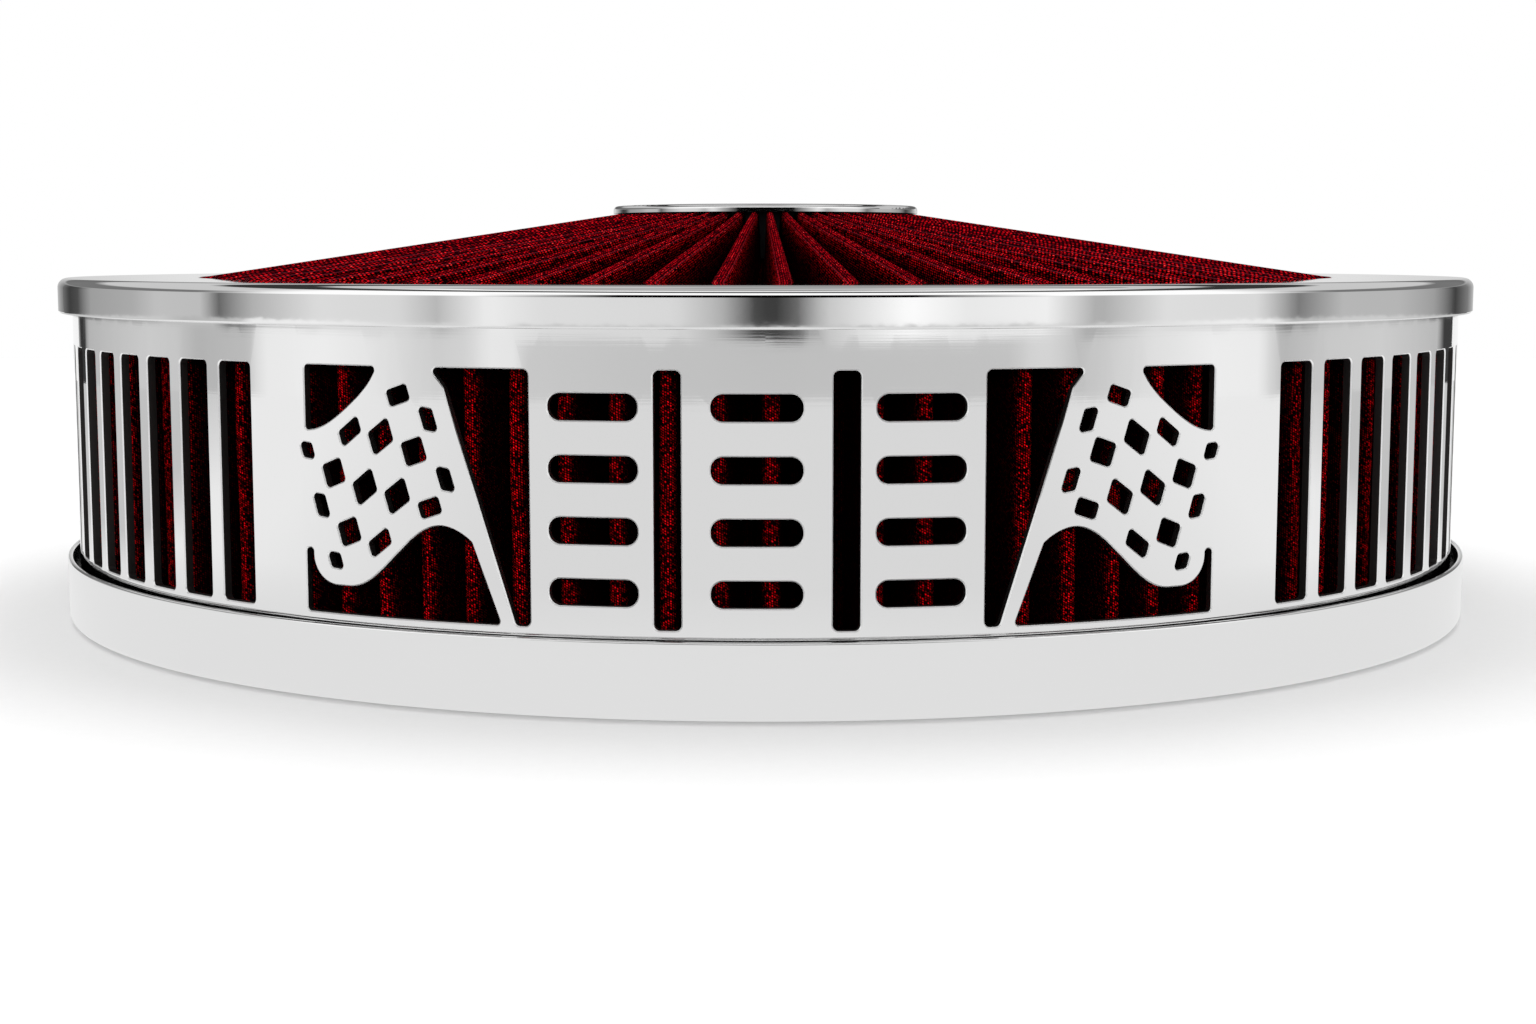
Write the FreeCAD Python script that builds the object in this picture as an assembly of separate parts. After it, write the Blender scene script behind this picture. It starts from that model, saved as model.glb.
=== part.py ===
import FreeCAD, Part
import math
import os

from FreeCAD import Vector

os.makedirs("parts", exist_ok=True)

# Clearances
seat_gap = 0.3
thread_gap = 0.05
hole_gap = 0.4

# Edges of pressed sheet, rounded by polishing
sheet_edge_round = 0.5

# Base pan, pressed from sheet
pan_overhang = 2.9
pan_height = 15.3
pan_sheet = 1.2
pan_corner_bend = 2.0
pan_step_run = 7.0
pan_step_rise = 6.0
pan_step_bend = 2.0
neck_radius = 65.1
neck_height = 10.0
neck_bend = 0.8
neck_shelf_width = 25.9

# Neck gasket
gasket_width = 9.0
gasket_thickness = 3.0

# Round pleated element
element_outer_radius = 172.3
element_wall = 22.3
element_height = 75.7
end_seal_height = 8.0
side_pleats_count = 107
side_pleat_phase_deg = 0.4
side_tip_inset = 2.5
side_root_inset = 1.6
side_fold_radius = 1.6
side_fold_wall = 1.3

# Pierced surround, a rolled strip
band_sheet = 2.0
band_rise = 1.3
seam_width = 0.6
opening_sill = 1.6
opening_header = 12.2
opening_corner = 1.2
opening_edge = 0.25

# Slots down the sides and round the back
slot_open_deg = 3.27
slot_pitch_deg = 4.62
first_slot_deg = 38.3
slots_per_side = 29

# Seam strap and its rivets
strap_width = 26.0
strap_overlap = 0.3
strap_sheet = 0.8
rivet_radius = 1.6
rivet_head_radius = 2.6
rivet_head_height = 0.9
rivet_tail_height = 0.6
rivet_offset = 7.5
rivet_rows = 3
head_round_share = 0.7

# Front panel: two waving chequered flags, three louvred bays between them
panel_half_deg = 31.1
panel_shift_left = 1.6
flag_columns = 6
flag_rows = 5
flag_check_share = 0.8
flag_check_corner = 0.8
flag_wave_start = 0.4
flag_wave_columns = 4.3
flag_top_border = 0.62
flag_check_border = 0.16
flag_edge_points = 9
flag_opening_corner = 0.8
hem_tail_round = 6.0
pole_width = 3.0
pole_flare_width = 2.0
pole_flare_height = 3.6
pole_flare_round = 3.0
louvre_rows = 4
louvre_corner_share = 0.46

# Places and widths on the front panel, as shares of its half width
flag_pole_across = 0.6627
flag_column_across = 0.0609
flag_lean_across = 0.019
flag_rise_across = 0.87
flag_corner_across = 0.811
hem_crest_across = 0.6616
hem_half_wave_across = 0.2237
hem_tail_across = 0.981
pole_top_across = 0.6635
pole_foot_across = 0.4959
pole_opening_across = 0.4643
bay_slot_across = 0.1794
bay_slot_width_across = 0.0559
outer_bay_across = 0.3313
louvre_across = 0.1847

# Places and heights on the surround, as shares of the openings' height
flag_middle_up = 0.5587
flag_wave_up = 0.1275
flag_row_up = 0.1166
hem_crest_up = 0.3806
hem_trough_up = 0.1154
hem_tail_up = 0.26
louvre_up = 0.1053
louvre_pitch_up = 0.2389
rivet_pitch_up = 0.344

# Lid ring, pressed from sheet
ring_overhang = 3.2
ring_skirt = 8.2
ring_sheet = 1.2
ring_bend = 0.8

# Lid rim seal
rim_foot_thickness = 3.2
rim_lip_width = 4.7
rim_lip_below = 0.55

# Lid pleats, a shallow cone of radial folds
lid_pleats_count = 64
lid_pleat_phase_deg = 1.65
lid_pleat_depth = 12.0
lid_pleat_clear = 0.5
lid_ridge_inner = 0.8
lid_ridge_outer = 1.5
lid_ridge_round = 1.4
lid_ridge_wall = 1.3
lid_crown_share = 0.55
lid_crown_drop = 0.35

# Hub
hub_rise = 18.0
hub_cover = 5.2
hub_plate_thickness = 1.9
hub_sheet = 0.9
hub_lip_width = 1.0
hub_edge_round = 1.1
well_room = 4.4
well_wall = 2.0
bead_width = 10.9
bead_foot = 1.1
clamp_inset = 1.7
clamp_thickness = 2.0
screw_count = 4
screw_radius = 1.5
screw_head_radius = 2.8
screw_head_height = 1.6

# Stud, nut and washers
stud_radius = 3.175
stud_bottom = 22.0
stud_proud = 0.7
stud_point = 0.8
stud_shank_radius = 2.8
lower_thread_length = 16.0
upper_thread_length = 14.0
washer_radius = 11.0
seal_washer_thickness = 2.0
plain_washer_thickness = 1.6
collar_wall = 1.7
collar_lip_width = 0.8
collar_lip_height = 0.5
nut_radius = 9.5
nut_height = 6.4
nut_chamfer = 0.8
nut_recess_radius = 6.0
nut_recess_depth = 1.0

# Radii that follow from the element, the neck, the washers and the stud
element_inner_radius = element_outer_radius - element_wall
side_tip_radius = element_outer_radius - side_tip_inset
side_root_radius = element_inner_radius + side_root_inset
band_inner = element_outer_radius + seat_gap
band_radius = band_inner + band_sheet
pan_radius = band_radius + pan_overhang
neck_shelf_radius = neck_radius + neck_shelf_width
ring_radius = band_radius + ring_overhang
ring_inner_radius = element_inner_radius - seat_gap - rim_lip_width
lid_pleat_outer = ring_inner_radius - seat_gap
well_radius = washer_radius + 2 * screw_head_radius + well_room
bead_inner = well_radius + well_wall + seat_gap
bead_outer = bead_inner + bead_width
lid_pleat_inner = bead_outer + seat_gap
hub_radius = lid_pleat_inner + hub_cover
clamp_radius = hub_radius - clamp_inset
screw_circle = (washer_radius + well_radius) / 2
collar_radius = stud_radius + thread_gap + collar_wall
collar_lip_radius = collar_radius + collar_lip_width
strap_outer = band_inner - seat_gap
panel_half_width = band_radius * math.radians(panel_half_deg)
slot_width = band_radius * math.radians(slot_open_deg)

# Heights that follow, from the pan's underside up
element_bottom = pan_sheet + seat_gap
element_top = element_bottom + element_height
band_height = element_height + band_rise
opening_bottom = pan_height + opening_sill
opening_top = element_bottom + band_height - opening_header
opening_height = opening_top - opening_bottom
strap_height = opening_height + 2 * strap_overlap
rim_foot = element_top + seat_gap
ring_top = rim_foot + rim_foot_thickness + seat_gap + ring_sheet
hub_top = ring_top + hub_rise
hub_roof = hub_top - hub_sheet
inner_ridge_top = hub_roof - lid_pleat_clear
outer_ridge_top = ring_top - seat_gap / 2
clamp_top = inner_ridge_top - lid_pleat_depth - bead_foot
well_bottom = clamp_top + seat_gap
well_floor = well_bottom + well_wall
seal_washer_bottom = well_floor + seat_gap
plain_washer_bottom = seal_washer_bottom + seal_washer_thickness + seat_gap
nut_seat = plain_washer_bottom + plain_washer_thickness + seat_gap
nut_top = nut_seat + nut_height
collar_lip_bottom = plain_washer_bottom + seat_gap / 2

UP = Vector(0, 0, 1)
ORIGIN = Vector(0, 0, 0)
FULL_TURN = 360.0
FRONT_DEG = -90.0
REAR_DEG = 90.0
REACH = 6.0
TINY = 1e-6
SMOOTH_COSINE = 0.99


def save(name, shape):
    shape.exportStep("parts/" + name + ".step")


def in_section(r, z):
    return Vector(r, 0, z)


def in_plan(x, y):
    return Vector(x, y, 0)


def unit(a, b):
    length = math.hypot(b[0] - a[0], b[1] - a[1])
    return (b[0] - a[0]) / length, (b[1] - a[1]) / length


def corner_arc(before, corner, after):
    """Tangent points and middle of the arc that rounds a corner (x, y, radius)."""
    radius = corner[2]
    u = unit(corner, before)
    v = unit(corner, after)
    half = math.acos(max(-1.0, min(1.0, u[0] * v[0] + u[1] * v[1]))) / 2
    reach = radius / math.tan(half)
    middle = unit((0, 0), (u[0] + v[0], u[1] + v[1]))
    depth = radius / math.sin(half) - radius
    start = (corner[0] + u[0] * reach, corner[1] + u[1] * reach)
    centre = (corner[0] + middle[0] * depth, corner[1] + middle[1] * depth)
    end = (corner[0] + v[0] * reach, corner[1] + v[1] * reach)
    return start, centre, end


def outline_edges(points, at):
    """Edges of a closed outline through (x, y) or (x, y, corner radius) points."""
    edges = []
    pieces = []
    count = len(points)
    for i, point in enumerate(points):
        if len(point) > 2 and point[2] > 0:
            pieces.append(corner_arc(points[i - 1], point, points[(i + 1) % count]))
        else:
            pieces.append((point, None, point))
    for i, (start, middle, end) in enumerate(pieces):
        if middle:
            edges.append(Part.Arc(at(*start), at(*middle), at(*end)).toShape())
        following = pieces[(i + 1) % count][0]
        a = at(end[0], end[1])
        b = at(following[0], following[1])
        if a.distanceToPoint(b) > TINY:
            edges.append(Part.makeLine(a, b))
    return edges


def outline(points, at):
    return Part.Wire(outline_edges(points, at))


def turned(points):
    """Solid of revolution from a section of (radius, height, corner radius) points."""
    face = Part.Face(outline(points, in_section))
    return face.revolve(ORIGIN, UP, FULL_TURN)


def pressed(path, sheet):
    """Solid of revolution of a bent sheet with rounded edges: the path is its left side,
    bends are inside radii."""
    near = []
    far = []
    last = len(path) - 1
    for i, (r, z, bend) in enumerate(path):
        before = unit(path[i - 1], path[i]) if i > 0 else unit(path[i], path[i + 1])
        after = unit(path[i], path[i + 1]) if i < last else before
        turn = before[0] * after[1] - before[1] * after[0]
        scale = sheet / (1 + before[0] * after[0] + before[1] * after[1])
        shift = ((before[1] + after[1]) * scale, -(before[0] + after[0]) * scale)
        at_edge = i in (0, last)
        inner_bend = sheet_edge_round if at_edge else bend
        outer_bend = sheet_edge_round if at_edge else bend + sheet
        near.append((r, z, outer_bend if turn < 0 else inner_bend))
        far.append((r + shift[0], z + shift[1], inner_bend if turn < 0 else outer_bend))
    return turned(near + far[::-1])


def ring(inner, outer, bottom, height):
    body = Part.makeCylinder(outer, height, Vector(0, 0, bottom))
    bore = Part.makeCylinder(inner, height + 2 * REACH, Vector(0, 0, bottom - REACH))
    return body.cut(bore)


def polar(radius, degrees, z):
    a = math.radians(degrees)
    return Vector(radius * math.cos(a), radius * math.sin(a), z)


def base_pan():
    neck_top = pan_step_rise + neck_height
    path = [
        (pan_radius, pan_height, 0),
        (pan_radius, 0, pan_corner_bend),
        (neck_shelf_radius + pan_step_run, 0, pan_step_bend),
        (neck_shelf_radius, pan_step_rise, pan_step_bend),
        (neck_radius, pan_step_rise, neck_bend),
        (neck_radius, neck_top, 0),
    ]
    return pressed(path, pan_sheet)


def neck_gasket():
    inner = neck_radius + 2 * hole_gap
    bottom = pan_step_rise - seat_gap - gasket_thickness
    return ring(inner, inner + gasket_width, bottom, gasket_thickness)


def through_band(points, degrees):
    """Cutter whose outline is (distance to the right, height) seen from outside at an angle."""
    wire = outline(points, lambda x, z: Vector(x, -band_radius - REACH, z))
    return band_cutter(wire, degrees)


def band_cutter(wire, degrees, corner=0):
    tool = Part.Face(wire).extrude(Vector(0, band_sheet + 2 * REACH, 0))
    if corner:
        tool = rounded(tool, corner)
    tool.rotate(ORIGIN, UP, degrees)
    return tool


def rounded(tool, radius):
    """Cutter with the sharp corners of its outline rounded."""
    corners = []
    for edge in tool.Edges:
        faces = tool.ancestorsOfType(edge, Part.Face)
        a, b = [f.normalAt(*f.Surface.parameter(edge.CenterOfMass)) for f in faces]
        if abs(a.y) + abs(b.y) < TINY and a.dot(b) < SMOOTH_COSINE:
            corners.append(edge)
    return tool.makeFillet(radius, corners)


def on_panel(distance):
    """Angle from the front of a distance to the right of the panel's centre."""
    return math.degrees((distance - panel_shift_left) / band_radius)


def upright_slot(width, degrees):
    half = width / 2
    points = [
        (-half, opening_bottom, opening_corner),
        (half, opening_bottom, opening_corner),
        (half, opening_top, opening_corner),
        (-half, opening_top, opening_corner),
    ]
    return through_band(points, degrees)


def side_slots():
    tools = []
    for i in range(slots_per_side):
        angle = first_slot_deg + i * slot_pitch_deg
        tools.append(upright_slot(slot_width, angle))
        tools.append(upright_slot(slot_width, -angle))
    return tools


def across(share):
    """Distance out from the panel's centre for a share of its half width."""
    return panel_half_width * share


def up(share):
    """Height for a share of the openings' height."""
    return opening_bottom + opening_height * share


def flag_point(column, row):
    """Distance out from the panel's centre and height of a point on the waving flag."""
    below = row - (flag_rows - 1) / 2
    wave = math.cos(math.pi * (column - flag_wave_start) / flag_wave_columns)
    out = across(flag_pole_across + flag_column_across * column - flag_lean_across * below)
    height = up(flag_middle_up + flag_wave_up * wave - flag_row_up * below)
    return out, height


def inside_border(value, count):
    return max(-flag_check_border, min(count - 1 + flag_check_border, value))


def flag_checks():
    half = flag_check_share / 2
    corners = ((-half, -half), (-half, half), (half, half), (half, -half))
    outlines = []
    for column in range(flag_columns):
        for row in range(flag_rows):
            if (column + row) % 2 == 0:
                continue
            points = []
            for c, r in corners:
                place = inside_border(column + c, flag_columns), inside_border(row + r, flag_rows)
                points.append((*flag_point(*place), flag_check_corner))
            outlines.append(points)
    return outlines


def top_edge_height(distance):
    row = -flag_top_border
    column = (distance - flag_point(0, row)[0]) / across(flag_column_across)
    return flag_point(column, row)[1]


def hem_height(distance):
    middle = (hem_crest_up + hem_trough_up) / 2
    swing = (hem_crest_up - hem_trough_up) / 2
    phase = (distance / panel_half_width - hem_crest_across) / hem_half_wave_across
    return up(middle + swing * math.cos(math.pi * phase))


def waving_edge(height_at, nearest, farthest):
    """Points along a waving edge between two distances from the panel's centre."""
    points = []
    for i in range(flag_edge_points):
        distance = nearest + (farthest - nearest) * i / (flag_edge_points - 1)
        points.append((distance, height_at(distance)))
    return points


def pole_distance(height):
    """Distance of the pole's inner edge from the panel's centre at a height."""
    share = (height - opening_bottom) / opening_height
    return across(pole_foot_across + (pole_top_across - pole_foot_across) * share)


def mirrored(points, side, centre):
    return [(side * p[0] - centre, *p[1:]) for p in points]


def edge_cutter(edge, closing, side):
    """Cutter bounded by a waving edge and the straight sides that close it."""
    centre = side * edge[0][0]
    front = -band_radius - REACH
    curve = Part.BSplineCurve()
    curve.interpolate([Vector(side * x - centre, front, z) for x, z in edge])
    corners = mirrored([edge[-1], *closing, edge[0]], side, centre)
    straight = outline_edges(corners, lambda x, z: Vector(x, front, z))[:-1]
    wire = Part.Wire([curve.toShape(), *straight])
    return band_cutter(wire, on_panel(centre), flag_opening_corner)


def under_flag(side):
    near = pole_distance(up(hem_crest_up)) + pole_width
    trough = across(hem_crest_across + hem_half_wave_across)
    tail = across(hem_tail_across)
    foot = pole_distance(opening_bottom) + pole_width
    closing = [
        (tail, up(hem_trough_up), hem_tail_round),
        (tail, up(hem_tail_up)),
        (panel_half_width, up(hem_tail_up)),
        (panel_half_width, opening_bottom),
        (foot, opening_bottom),
    ]
    return edge_cutter(waving_edge(hem_height, near, trough), closing, side)


def above_flag(side):
    wave = waving_edge(top_edge_height, across(flag_rise_across), panel_half_width)
    edge = [(across(flag_corner_across), opening_top)] + wave
    return edge_cutter(edge, [(panel_half_width, opening_top)], side)


def beside_pole(side):
    inner = across(pole_opening_across)
    flare = opening_top - pole_flare_height
    points = [
        (inner, opening_bottom, opening_corner),
        (pole_distance(opening_bottom), opening_bottom, opening_corner),
        (pole_distance(flare), flare, pole_flare_round),
        (pole_distance(opening_top) + pole_flare_width, opening_top, flag_opening_corner),
        (inner, opening_top, opening_corner),
    ]
    centre = side * inner
    return through_band(mirrored(points, side, centre), on_panel(centre))


def checks_cutters(side):
    tools = []
    for points in flag_checks():
        centre = side * sum(p[0] for p in points) / len(points)
        tools.append(through_band(mirrored(points, side, centre), on_panel(centre)))
    return tools


def louvre_bay(distance):
    tools = []
    half = across(louvre_across) / 2
    height = opening_height * louvre_up
    middle = opening_bottom + opening_height / 2
    for i in range(louvre_rows):
        low = middle + (i - (louvre_rows - 1) / 2) * opening_height * louvre_pitch_up - height / 2
        high = low + height
        corners = ((-half, low), (half, low), (half, high), (-half, high))
        points = [(x, z, height * louvre_corner_share) for x, z in corners]
        tools.append(through_band(points, on_panel(distance)))
    return tools


def front_piercing():
    tools = louvre_bay(0)
    for side in (-1, 1):
        tools += checks_cutters(side)
        tools += [under_flag(side), above_flag(side), beside_pole(side)]
        tools += louvre_bay(side * across(outer_bay_across))
        angle = on_panel(side * across(bay_slot_across))
        tools.append(upright_slot(across(bay_slot_width_across), angle))
    return tools


def rivet_places():
    """Angle and height of every seam rivet."""
    angle = math.degrees(rivet_offset / band_radius)
    middle = opening_bottom + opening_height / 2
    places = []
    for i in range(rivet_rows):
        height = middle + (i - (rivet_rows - 1) / 2) * opening_height * rivet_pitch_up
        places.append((REAR_DEG - angle, height))
        places.append((REAR_DEG + angle, height))
    return places


def radial_pin(radius, start, end, degrees, height):
    """Cylinder lying along the radius at an angle, from one distance to another."""
    outward = polar(1, degrees, 0)
    return Part.makeCylinder(radius, end - start, polar(start, degrees, height), outward)


def rivet_holes():
    radius = rivet_radius + thread_gap
    start = band_inner - strap_sheet - REACH
    end = band_radius + REACH
    return [radial_pin(radius, start, end, *place) for place in rivet_places()]


def opening_rims(band):
    """Outer edges of every opening and of the seam."""
    rims = []
    for edge in band.Edges:
        middle = edge.valueAt((edge.FirstParameter + edge.LastParameter) / 2)
        on_skin = abs(math.hypot(middle.x, middle.y) - band_radius) < TINY
        if on_skin and opening_bottom - seat_gap < middle.z < opening_top + seat_gap:
            rims.append(edge)
    return rims


def filter_surround():
    hoop = ring(band_inner, band_radius, element_bottom, band_height)
    hoop.rotate(ORIGIN, UP, REAR_DEG)
    seam = Part.makeBox(seam_width, band_sheet + 2 * REACH, band_height + 2 * REACH)
    seam.translate(Vector(-seam_width / 2, band_inner - REACH, element_bottom - REACH))
    band = hoop.cut(side_slots() + front_piercing() + [seam])
    return band.makeChamfer(opening_edge, opening_rims(band)).cut(rivet_holes())


def seam_strap():
    bottom = opening_bottom - strap_overlap
    hoop = ring(strap_outer - strap_sheet, strap_outer, bottom, strap_height)
    window = Part.makeBox(strap_width, band_sheet + 2 * REACH, strap_height)
    window.translate(Vector(-strap_width / 2, strap_outer - 2 * REACH, bottom))
    return hoop.common(window).cut(rivet_holes())


def seam_rivets():
    solids = []
    for degrees, height in rivet_places():
        head_seat = band_radius + seat_gap
        tail_seat = strap_outer - strap_sheet - seat_gap
        head = radial_pin(rivet_head_radius, head_seat, head_seat + rivet_head_height, degrees, height)
        crown = polar(head_seat + rivet_head_height, degrees, height)
        rims = [e for e in head.Edges if e.Closed and e.CenterOfMass.isEqual(crown, seat_gap)]
        head = head.makeFillet(rivet_head_height * head_round_share, rims)
        shank = radial_pin(rivet_radius, tail_seat - rivet_tail_height, head_seat + TINY, degrees, height)
        tail = radial_pin(rivet_head_radius - hole_gap, tail_seat - rivet_tail_height, tail_seat, degrees, height)
        solids.append(head.fuse([shank, tail]).removeSplitter())
    return Part.makeCompound(solids)


def side_bottom_seal():
    return ring(element_inner_radius, element_outer_radius, element_bottom, end_seal_height)


def side_top_seal():
    bottom = element_top - end_seal_height
    return ring(element_inner_radius, element_outer_radius, bottom, end_seal_height)


def fold_corner(fold_end, inward, opposite):
    """Distance of the sharp corner whose rounding ends at fold_end and whose sides
    run to the corners at the opposite distance, half a pitch to each side."""
    half = math.pi / side_pleats_count
    centre = fold_end + inward * side_fold_radius
    along = abs(centre - opposite * math.cos(half))
    aside = opposite * math.sin(half)
    lean = math.atan2(aside, along) - math.asin(side_fold_radius / math.hypot(along, aside))
    return opposite * math.cos(half) - inward * aside / math.tan(lean)


def side_wave(tip, root, tip_round, root_round):
    """Closed zigzag, one tip and one root to each pleat."""
    points = []
    pitch = FULL_TURN / side_pleats_count
    for i in range(side_pleats_count):
        angle = FRONT_DEG + side_pleat_phase_deg + i * pitch
        outer = polar(tip, angle, 0)
        inner = polar(root, angle + pitch / 2, 0)
        points.append((outer.x, outer.y, tip_round))
        points.append((inner.x, inner.y, root_round))
    return outline(points, in_plan)


def side_pleats():
    valley = side_root_radius + side_fold_wall
    crease = side_tip_radius - side_fold_wall
    tip = fold_corner(side_tip_radius, -1, valley)
    root = fold_corner(side_root_radius, 1, crease)
    outer = side_wave(tip, valley, side_fold_radius, 0)
    inner = side_wave(crease, root, 0, side_fold_radius)
    bottom = element_bottom + end_seal_height + seat_gap
    height = element_height - 2 * (end_seal_height + seat_gap)
    body = Part.Face([outer, inner]).extrude(Vector(0, 0, height))
    body.translate(Vector(0, 0, bottom))
    return body


def lid_ring():
    path = [
        (ring_inner_radius, ring_top, 0),
        (ring_radius, ring_top, ring_bend),
        (ring_radius, ring_top - ring_skirt, 0),
    ]
    return pressed(path, ring_sheet)


def lid_fold(radius):
    """Upper and lower section of one fold, as (angle from the ridge, height) points."""
    pitch = FULL_TURN / lid_pleats_count
    share = (radius - lid_pleat_inner) / (lid_pleat_outer - lid_pleat_inner)
    half_width = lid_ridge_inner + (lid_ridge_outer - lid_ridge_inner) * share
    side = math.degrees(half_width / radius)
    crown = side * lid_crown_share
    top = inner_ridge_top + (outer_ridge_top - inner_ridge_top) * share
    root = top - lid_pleat_depth
    half = pitch / 2
    upper = [
        (-half, root + lid_ridge_wall),
        (-side, top - lid_ridge_round),
        (-crown, top - lid_crown_drop),
        (0, top),
        (crown, top - lid_crown_drop),
        (side, top - lid_ridge_round),
        (half, root + lid_ridge_wall),
    ]
    lower = [
        (-half, root),
        (-half + crown, root + lid_crown_drop),
        (-half + side, root + lid_ridge_round),
        (0, top - lid_ridge_wall),
        (half - side, root + lid_ridge_round),
        (half - crown, root + lid_crown_drop),
        (half, root),
    ]
    return upper, lower


def lid_fold_faces(angle):
    """Faces of one fold between the hub and the ring, open where the next fold joins."""
    wires = []
    for radius in (lid_pleat_inner, lid_pleat_outer):
        upper, lower = lid_fold(radius)
        wires.append([[polar(radius, angle + a, z) for a, z in side] for side in (upper, lower)])
    faces = []
    for side in (0, 1):
        near = wires[0][side]
        far = wires[1][side]
        for i in range(len(near) - 1):
            first = Part.makeLine(near[i], near[i + 1])
            second = Part.makeLine(far[i], far[i + 1])
            faces.append(Part.makeRuledSurface(first, second))
    for upper, lower in wires:
        for i in range(len(upper) - 1):
            first = Part.makeLine(upper[i], upper[i + 1])
            second = Part.makeLine(lower[i], lower[i + 1])
            faces.append(Part.makeRuledSurface(first, second))
    return faces


def lid_pleats():
    faces = []
    pitch = FULL_TURN / lid_pleats_count
    for i in range(lid_pleats_count):
        faces += lid_fold_faces(FRONT_DEG + lid_pleat_phase_deg + i * pitch)
    shell = Part.makeShell(faces)
    shell.sewShape()
    solid = Part.Solid(shell)
    if solid.Volume < 0:
        solid.reverse()
    return solid


def lid_rim_seal():
    top = rim_foot + rim_foot_thickness
    bottom = outer_ridge_top - lid_pleat_depth - rim_lip_below
    lip_outer = ring_inner_radius + rim_lip_width
    points = [
        (ring_inner_radius, bottom),
        (lip_outer, bottom),
        (lip_outer, rim_foot),
        (element_outer_radius, rim_foot),
        (element_outer_radius, top),
        (ring_inner_radius, top),
    ]
    return turned(points)


def screw_places():
    step = FULL_TURN / screw_count
    return [polar(screw_circle, REAR_DEG + step / 2 + i * step, 0) for i in range(screw_count)]


def upright_holes(radius, bottom, top):
    return [Part.makeCylinder(radius, top - bottom, p + Vector(0, 0, bottom)) for p in screw_places()]


def hub_cap():
    lip_bottom = hub_top - hub_plate_thickness
    bore = stud_radius + hole_gap
    points = [
        (bore, well_floor),
        (bore, well_bottom),
        (well_radius + well_wall, well_bottom),
        (well_radius + well_wall, hub_roof),
        (hub_radius - hub_lip_width, hub_roof),
        (hub_radius - hub_lip_width, lip_bottom),
        (hub_radius, lip_bottom),
        (hub_radius, hub_top, hub_edge_round),
        (well_radius, hub_top, hub_sheet),
        (well_radius, well_floor),
    ]
    holes = upright_holes(screw_radius + hole_gap, well_bottom - REACH, well_floor + REACH)
    return turned(points).cut(holes)


def hub_bead():
    return ring(bead_inner, bead_outer, well_bottom, hub_roof - seat_gap - well_bottom)


def hub_clamp_plate():
    bottom = clamp_top - clamp_thickness
    plate = ring(stud_radius + hole_gap, clamp_radius, bottom, clamp_thickness)
    return plate.cut(upright_holes(screw_radius + thread_gap, bottom - REACH, clamp_top + REACH))


def hub_screws():
    solids = []
    seat = well_floor + seat_gap
    length = seat - (clamp_top - clamp_thickness)
    for place in screw_places():
        shank = Part.makeCylinder(screw_radius, length, place + Vector(0, 0, seat - length))
        head = Part.makeCylinder(screw_head_radius, screw_head_height, place + Vector(0, 0, seat))
        rims = [e for e in head.Edges if e.Closed and e.CenterOfMass.z > seat + TINY]
        head = head.makeFillet(screw_head_height * head_round_share, rims)
        solids.append(shank.fuse(head).removeSplitter())
    return Part.makeCompound(solids)


def centre_stud():
    top = nut_top + stud_proud
    points = [
        (0, stud_bottom),
        (stud_radius - stud_point, stud_bottom),
        (stud_radius, stud_bottom + stud_point),
        (stud_radius, stud_bottom + lower_thread_length),
        (stud_shank_radius, stud_bottom + lower_thread_length + stud_point),
        (stud_shank_radius, top - upper_thread_length - stud_point),
        (stud_radius, top - upper_thread_length),
        (stud_radius, top - stud_point),
        (stud_radius - stud_point, top),
        (0, top),
    ]
    return turned(points)


def seal_washer():
    return ring(stud_radius + hole_gap, washer_radius, seal_washer_bottom, seal_washer_thickness)


def captive_washer():
    top = plain_washer_bottom + plain_washer_thickness
    step = collar_lip_bottom + collar_lip_height + seat_gap
    points = [
        (collar_lip_radius + hole_gap, plain_washer_bottom),
        (washer_radius, plain_washer_bottom),
        (washer_radius, top),
        (collar_radius + seat_gap, top),
        (collar_radius + seat_gap, step),
        (collar_lip_radius + hole_gap, step),
    ]
    return turned(points)


def hold_down_nut():
    bore = stud_radius + thread_gap
    points = [
        (bore, collar_lip_bottom),
        (collar_lip_radius, collar_lip_bottom),
        (collar_lip_radius, collar_lip_bottom + collar_lip_height),
        (collar_radius, collar_lip_bottom + collar_lip_height),
        (collar_radius, nut_seat),
        (nut_radius - nut_chamfer, nut_seat),
        (nut_radius, nut_seat + nut_chamfer),
        (nut_radius, nut_top - nut_chamfer),
        (nut_radius - nut_chamfer, nut_top),
        (nut_recess_radius, nut_top),
        (nut_recess_radius, nut_top - nut_recess_depth),
        (bore, nut_top - nut_recess_depth),
    ]
    return turned(points)


save("base_pan", base_pan())
save("neck_gasket", neck_gasket())
save("filter_surround", filter_surround())
save("seam_strap", seam_strap())
save("seam_rivets", seam_rivets())
save("side_bottom_seal", side_bottom_seal())
save("side_top_seal", side_top_seal())
save("side_pleats", side_pleats())
save("lid_ring", lid_ring())
save("lid_pleats", lid_pleats())
save("lid_rim_seal", lid_rim_seal())
save("hub_cap", hub_cap())
save("hub_bead", hub_bead())
save("hub_clamp_plate", hub_clamp_plate())
save("hub_screws", hub_screws())
save("centre_stud", centre_stud())
save("seal_washer", seal_washer())
save("captive_washer", captive_washer())
save("hold_down_nut", hold_down_nut())
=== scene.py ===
import math
import random

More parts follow.
